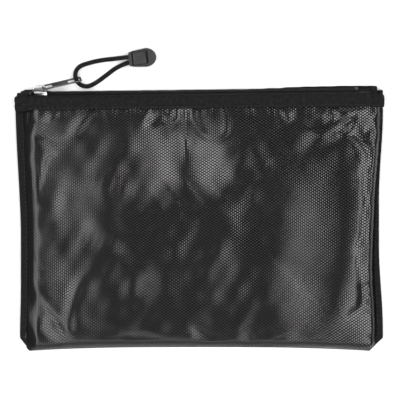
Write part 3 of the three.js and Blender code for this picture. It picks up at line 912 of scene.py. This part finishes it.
# ---- The back panel and its lining lie flat ----
back_x, back_y = panel_places(BAND_TUCK)
back_x, back_y = back_x[::2, ::2], back_y[::2, ::2]
inside = np.minimum(back_x - left_edge(back_y), right_edge(back_y) - back_x)
inside = np.minimum(inside, back_y - foot_edge(back_x))
for side in (-1, 1):
    inside = np.minimum(inside, within_corner(back_x, back_y, side))
turn_up = 1.3 * (1 - smooth(inside / 7))
over_tape = 0.6 * smooth((back_y - BAND_FOOT - back_x * ZIP_SLOPE + 4) / 4)
back_z = CLOTH_THICKNESS + turn_up + over_tape + 0.12 * (1 + rumple(back_x, back_y, 21, 40) / 2)
back_top = np.stack([back_x, back_y, back_z], axis=2)
back_cloth = grid_sheet("back_cloth", back_top, CLOTH_THICKNESS, CLOTH)
place(back_cloth, "root", "coated_cloth", "back_panel")
back_lining_top = back_top[1:-1, 1:-1].copy()
back_lining_top[:, :, 2] += 0.6
back_lining = grid_sheet("back_lining_cloth", back_lining_top, LINING_THICKNESS, LINING)
place(back_lining, "root", "lining_cloth", "back_lining")

# ---- The tapes that close the sides and the bottom ----
ZIP_HALF = 126.6  # half the zip's length, without its folded ends
OUTLINE_STEP = 2.0


def binding_section(width, height, wave):
    """A tape folded round an edge: from its inner top edge, over, and back underneath."""
    turn = np.linspace(0.5, -0.5, 11) * math.pi
    radius = height / 2
    reach = width - radius
    top = [(-0.2, height - 0.25 + wave), (reach * 0.5, height + wave)]
    bulge = [(reach + radius * math.cos(a), radius + radius * math.sin(a)) for a in turn]
    under = [(reach * 0.5, 0.0), (0.0, 0.0)]
    inner = [(0.3, 0.6), (0.3, height - 0.9 + wave)]
    return np.array(top + bulge + under + inner)


def binding(name, line, outward, width, height, seed):
    """A tape along a line of the outline. outward points out of the bag at each of its points."""
    far = spans(line)
    rings = []
    widths, heights = np.broadcast_to(width, len(line)), np.broadcast_to(height, len(line))
    for i, (point, out, wide, high) in enumerate(zip(line, outward, widths, heights)):
        wave = 0.25 * ripple(far[i], seed, (9, 17, 31))
        wide = wide + 0.3 * ripple(far[i], seed + 1, (7, 13, 26))
        section = binding_section(wide, high, wave)
        start = point - out * wide
        flat = start[None, :] + section[:, :1] * out[None, :]
        rings.append(np.column_stack([flat, section[:, 1]]))
    return skin(name, np.array(rings), TAPE)


def outwards(line, clockwise):
    """The direction out of the bag at each point of a line along its outline."""
    ahead = np.gradient(line, axis=0)
    ahead /= np.linalg.norm(ahead, axis=1)[:, None]
    out = np.stack([-ahead[:, 1], ahead[:, 0]], axis=1)
    return out if clockwise else -out


RIGHT_BINDING_HEIGHT = 4.2
LEFT_BINDING_HEIGHT = 3.4  # at the lower corner


def side_line(edge, zip_x):
    """A side of the outline, from under the zip's end down to the corner."""
    y = np.linspace(BAND_FOOT + zip_x * ZIP_SLOPE + 1.5, CORNER_Y, 60)
    return np.column_stack([edge(y), y])


left_line = side_line(left_edge, -ZIP_HALF)
right_line = side_line(right_edge, ZIP_HALF)
foot_at_corner = float(foot_edge(np.array(CORNER_FOOT)))
left_line = even(np.vstack([left_line, [[-CORNER_FOOT, foot_at_corner]]]), OUTLINE_STEP)
right_line = even(np.vstack([right_line, [[CORNER_FOOT, foot_at_corner]]]), OUTLINE_STEP)
left_out = outwards(left_line, False)
right_out = outwards(right_line, True)

# The left strip stands higher and is wider than at its lower corner.
left_x, left_y = left_line.T
left_heights = LEFT_BINDING_HEIGHT + left_lift(left_x, left_y) * 0.8
wider = (left_binding_width(left_y) - 1.8) * smooth((left_y - foot_edge(left_x)) / 22)
left_widths = 2.3 + wider
left_binding = binding("side_binding_left", left_line, left_out, left_widths, left_heights, 31)
right_widths = right_binding_width(right_line[:, 1])
right_binding = binding(
    "side_binding_right", right_line, right_out, right_widths + 0.5, RIGHT_BINDING_HEIGHT, 41
)
foot_x = np.linspace(-CORNER_FOOT, CORNER_FOOT, 125)
foot_line = np.column_stack([foot_x, foot_edge(foot_x)])
foot_binding = binding("bottom_binding", foot_line, outwards(foot_line, False), 1.5, 3.3, 51)
place(left_binding, "root", "woven_tape", "side_strip_left")
place(right_binding, "root", "woven_tape", "side_strip_right")
place(foot_binding, "root", "woven_tape", "bottom_seam_tape")


# ---- The zip, set out from the chain's middle line ----
ZIP_LEAN = math.radians(20)
ZIP_Y = 93.6
ZIP_Z = 6.0
ZIP_TILT = math.atan(ZIP_SLOPE)
TAPE_THICKNESS = 0.5
TAPE_BACK = ZIP_Y - BAND_FOOT


def zip_place(x, y, z):
    """Points of the zip in the frame: x along it, y and z square to it."""
    x, y, z = np.broadcast_arrays(x, y, z)
    cos, sin = math.cos(ZIP_TILT), math.sin(ZIP_TILT)
    return np.stack([x * cos - y * sin, ZIP_Y + x * sin + y * cos, z], axis=-1)


def from_chain(out, across):
    """A point of the chain's section as y and z of the zip."""
    return (
        out * math.cos(ZIP_LEAN) - across * math.sin(ZIP_LEAN),
        ZIP_Z + out * math.sin(ZIP_LEAN) + across * math.cos(ZIP_LEAN),
    )


def tape_line(*points):
    """The centre line of a zip tape's section, through points of the zip's y and z."""
    return spline([(y, z, 0) for y, z in points], 0.62)[:, :2]


def band_lift(x, down):
    """The front band waves up and down, more so at its lower edge, where down is 1."""
    return 0.28 * ripple(x, 61, (11, 23, 37)) * down + 0.22 * ripple(x, 63, (5.3, 8.1)) * down**3


TAPE_OUT = -0.95
front_centre = tape_line(
    from_chain(TAPE_OUT, 0.9), from_chain(TAPE_OUT, 4.8), (-2.75, 11.25), (-3.7, 11.95),
    (-6.5, 12.05), (-TAPE_BACK, 11.95),
)
tape_x = np.linspace(-ZIP_HALF, ZIP_HALF, 281)
front_rings = []
for x in tape_x:
    down = smooth((-3.0 - front_centre[:, 0]) / (TAPE_BACK - 3.0))
    lift = band_lift(x, down)
    hem = 0.45 * ripple(x, 62, (14, 19, 33)) * down**2
    centre = front_centre + np.stack([hem, lift], axis=1)
    section = band(centre, TAPE_THICKNESS)
    front_rings.append(zip_place(x, section[:, 0], section[:, 1]))
front_tape = skin("front_zip_tape", np.array(front_rings), TAPE)
place_across_mouth(
    split_in_middle(front_tape), "woven_tape", "zip_tape_front", "zip_tape_front_left_end",
    "zip_tape_front_right_end",
)

# The back tape reaches out past the chain, further at both ends, and turns under the bag.
BACK_SECTION = 34  # points of its centre line
back_rings = []
for x in tape_x:
    lip = 1.5 + 1.7 * smooth((x - 25) / 75) + 1.7 * smooth((-106 - x) / 12)
    lip = lip + 0.15 * ripple(x, 71, (13, 29))
    back_centre = tape_line(
        from_chain(TAPE_OUT, -0.9), from_chain(TAPE_OUT, -4.3), (lip * 0.8, 0.8), (lip, 0.55),
        (lip - 0.7, 0.27), (-5, 0.26), (-TAPE_BACK, 0.26),
    )
    at = np.linspace(0, len(back_centre) - 1, BACK_SECTION)
    whole = np.arange(len(back_centre))
    back_centre = np.stack([np.interp(at, whole, back_centre[:, i]) for i in (0, 1)], axis=1)
    section = band(back_centre[::-1], TAPE_THICKNESS * 0.96)
    back_rings.append(zip_place(x, section[:, 0], section[:, 1]))
back_tape = skin("back_zip_tape", np.array(back_rings), TAPE)
place(back_tape, "root", "woven_tape", "zip_tape_back")

# Each coil is one long spring of nylon, its loops lying flat on the tape's edge.
TOOTH = 1.5
COIL_START, COIL_END = (box[0] for box in node_box("zip_coil_back"))
COIL_START, COIL_END = COIL_START + 0.4, COIL_END - 0.4
FILAMENT = 0.33


def coil_rings(side):
    """One coil's rings: the front one's side is 1, the back one's -1, half a loop further on."""
    turns = (COIL_END - COIL_START) / TOOTH
    angle = np.arange(0, turns, 1 / 12) * 2 * math.pi
    x = COIL_START + TOOTH * (angle / (2 * math.pi)) + (0.375 if side > 0 else -0.375)
    reach = np.cos(angle)
    across = side * (1.72 - 0.86 * np.sign(reach) * np.abs(reach) ** 0.7)
    out = 0.28 + 0.5 * np.sin(angle)
    y, z = from_chain(out, across)
    return tube(zip_place(x, y, z), FILAMENT, 6)


front_coil = skin("front_coil", coil_rings(1), NYLON)
place_across_mouth(
    split_in_middle(front_coil), "nylon_coil", "zip_coil_front", "zip_coil_front_left_end",
    "zip_coil_front_right_end",
)
back_coil = skin("back_coil", coil_rings(-1), NYLON)
place(back_coil, "root", "nylon_coil", "zip_coil_back")
for node in ("top_stop_front", "top_stop_back", "bottom_stop"):
    place(refined(node, node + "_clamp", NYLON, 0.3, 3), "root", "nylon_coil", node)


# ---- The zip's ends: the tapes folded over and sewn down ----
VOXEL = 0.42


def folded_end(name, layers, seed):
    """Layers of tape, as boxes in the zip's x, y and z, melted into one soft folded lump."""
    points, faces = [], []
    for x, y, z in layers:
        first = len(points)
        points += [zip_place(a, b, c) for c in z for b in y for a in x]
        for face in ((0, 2, 3, 1), (4, 5, 7, 6), (0, 1, 5, 4), (2, 6, 7, 3), (0, 4, 6, 2), (1, 3, 7, 5)):
            faces.append(tuple(first + i for i in face))
    lump = make(name, points, faces, TAPE)
    remesh = lump.modifiers.new("melt", "REMESH")
    remesh.mode = "VOXEL"
    remesh.voxel_size = VOXEL * MM
    melt = lump.modifiers.new("soften", "SMOOTH")
    melt.factor = 0.5
    melt.iterations = 12
    evaluated = lump.evaluated_get(bpy.context.evaluated_depsgraph_get())
    mesh = bpy.data.meshes.new_from_object(evaluated)
    bpy.data.objects.remove(lump)
    co = np.array([v.co for v in mesh.vertices]) / MM
    normal = np.array([v.vector for v in mesh.vertex_normals])
    bumps = 0.22 * rumple(co[:, 0] + co[:, 2], co[:, 1] - 0.6 * co[:, 2], seed, 5.0)
    co = co + normal * bumps[:, None]
    co[:, 2] = np.maximum(co[:, 2], 0.02)
    flat = [(co[v][0] + co[v][2], co[v][1] + 0.3 * co[v][2]) for f in mesh.polygons for v in f.vertices]
    faces = [tuple(f.vertices) for f in mesh.polygons]
    return make(name, co, faces, TAPE, np.array(flat) * MM)


left_layers = [
    ((-134.0, -126.0), (-12.0, -4.0), (0.8, 11.6)),
    ((-134.9, -126.0), (-12.8, -3.2), (0, 3.8)),
    ((-134.6, -126.0), (-12.2, -2.6), (4.4, 7.2)),
    ((-135.6, -126.0), (-12.9, -2.3), (8.0, 12.2)),
    ((-133.8, -126.0), (-4.9, 0.4), (2.0, 11.4)),
    ((-131.0, -126.2), (-1.4, 1.8), (1.8, 10.2)),
    ((-128.6, -126.0), (-1.4, 2.9), (1.2, 8.2)),
]
right_layers = [
    ((126.0, 134.0), (-12.0, -4.0), (0.8, 11.6)),
    ((126.0, 134.9), (-12.8, -4.0), (0, 3.8)),
    ((126.0, 134.8), (-12.4, -3.6), (4.6, 7.4)),
    ((126.0, 135.3), (-12.9, -4.6), (8.4, 12.3)),
    ((126.0, 134.3), (-12.9, -3.2), (8.6, 11.8)),
    ((126.0, 130.4), (-4.4, 2.4), (1.0, 9.6)),
    ((131.4, 134.6), (-4.4, -0.4), (1.0, 8.6)),
]
place(folded_end("zip_end_fold_left", left_layers, 81), "root", "woven_tape", "zip_end_left")
place(folded_end("zip_end_fold_right", right_layers, 82), "root", "woven_tape", "zip_end_right")


# ---- Stitching ----
def stitches(name, line, up, length=2.3, gap=0.9, radius=0.27, arch=0.3):
    """Separate stitches along a line of points; each rises out of the cloth and dips back in."""
    line = even(line, 0.1)
    parts = []
    per, room = round(length / 0.1), round((length + gap) / 0.1)
    for first in range(0, len(line) - per, room):
        run = line[first : first + per + 1 : 3].copy()
        share = np.linspace(0, 1, len(run))
        run = run + np.array(up)[None, :] * (arch * np.sin(math.pi * share) - arch)[:, None]
        parts.append(tube(run, radius * (0.45 + 0.55 * np.sin(math.pi * share) ** 0.5)[:, None], 8))
    return many(name, parts, THREAD)


band_x = np.linspace(-ZIP_HALF + 2, ZIP_HALF - 2, 400)
band_line = zip_place(band_x, 1.1 - TAPE_BACK, 12.55 + band_lift(band_x, 1) * 0.85)
front_stitches = stitches("front_band_stitches", band_line, (0, 0, 1))
place_across_mouth(split_in_middle(front_stitches), "thread", "front_band_stitching")
back_line = zip_place(band_x, 1.1 - TAPE_BACK, 1.9)
place(stitches("back_band_stitches", back_line, (0, 0, 1)), "root", "thread", "back_band_stitching")

right_stitch = right_line[2:-3] - right_out[2:-3] * (right_widths[2:-3, None] - 1.2)
right_stitch = np.column_stack([right_stitch, np.full(len(right_stitch), RIGHT_BINDING_HEIGHT + 0.25)])
place(stitches("right_seam_stitches", right_stitch, (0, 0, 1)), "root", "thread", "right_seam_stitching")
left_stitch = left_line[2:-3] - left_out[2:-3] * (left_widths[2:-3, None] - 1.0)
left_stitch = np.column_stack([left_stitch, left_heights[2:-3] + 0.2])
place(stitches("left_seam_stitches", left_stitch, (0, 0, 1)), "root", "thread", "left_seam_stitching")
foot_stitch = np.column_stack([foot_line[2:-2] + (0, 0.9), np.full(len(foot_line) - 4, 3.45)])
place(stitches("bottom_seam_stitches", foot_stitch, (0, 0, 1)), "root", "thread", "bottom_seam_stitching")

# ---- The slider and its pull tab ----
for body, node, name, slot, finish, bevel, segments in (
    ("slider", "slider_body", "slider_casting", "plated_metal", PLATED, 0.3, 3),
    ("slider", "slider_bridge", "slider_arch", "plated_metal", PLATED, 0.32, 3),
    ("slider", "lock_spring", "slider_lock_spring", "stamped_steel", STEEL, 0.08, 2),
    ("tab", "pull_tab", "pull_tab_steel", "stamped_steel", STEEL, 0.34, 3),
):
    place(refined(node, name, finish, bevel, segments), body, slot, node)

# ---- Floor, lights and background ----
floor_mesh = bpy.data.meshes.new("floor")
FLOOR_HALF = 8.0
FLOOR_Z = -0.0002
corners = [(-1, -1), (1, -1), (1, 1), (-1, 1)]
floor_points = [(x * FLOOR_HALF, y * FLOOR_HALF, FLOOR_Z) for x, y in corners]
floor_mesh.from_pydata(floor_points, [], [(0, 1, 2, 3)])
floor_mesh.materials.append(pale_floor())
floor = bpy.data.objects.new("floor", floor_mesh)
SCENE.collection.objects.link(floor)


def softbox(name, lean, turn, size, radiance, distance=3.0):
    """A soft light aimed at the bag, leaning from overhead. size is across and along the lean."""
    data = bpy.data.lights.new(name, "AREA")
    data.shape = "RECTANGLE"
    data.size, data.size_y = size
    data.energy = radiance * math.pi * size[0] * size[1]
    lamp = bpy.data.objects.new(name, data)
    lean, turn = math.radians(lean), math.radians(turn)
    away = Vector((math.sin(lean) * math.cos(turn), math.sin(lean) * math.sin(turn), math.cos(lean)))
    lamp.location = away * distance
    lamp.rotation_mode = "QUATERNION"
    lamp.rotation_quaternion = away.to_track_quat("Z", "Y")
    SCENE.collection.objects.link(lamp)
    return lamp


softbox("left_softbox", 26, 180, (3.4, 1.32), 5.7)
softbox("right_softbox", 27, 0, (3.4, 1.3), 6.3)
softbox("front_softbox", 36, -90, (1.8, 0.9), 3.0)
softbox("back_softbox", 55, 90, (3.0, 1.0), 1.6)
softbox("low_front_softbox", 68, -90, (3.4, 1.1), 1.5)

# The sky is bright at the horizon and dim above it, so that flat coated cloth stays dark.
world = bpy.data.worlds.new("studio")
world.use_nodes = True
sky = world.node_tree
height_of_sky = sky.nodes.new("ShaderNodeSeparateXYZ")
sky.links.new(sky.nodes.new("ShaderNodeTexCoord").outputs["Generated"], height_of_sky.inputs[0])
fade = sky.nodes.new("ShaderNodeMapRange")
fade.interpolation_type = "SMOOTHSTEP"
for i, value in enumerate((0.0, 0.2, 0.5, 0.11), 1):
    fade.inputs[i].default_value = value
sky.links.new(height_of_sky.outputs["Z"], fade.inputs["Value"])
sky.links.new(fade.outputs[0], sky.nodes["Background"].inputs["Color"])
SCENE.world = world
SCENE.view_settings.view_transform = "Standard"
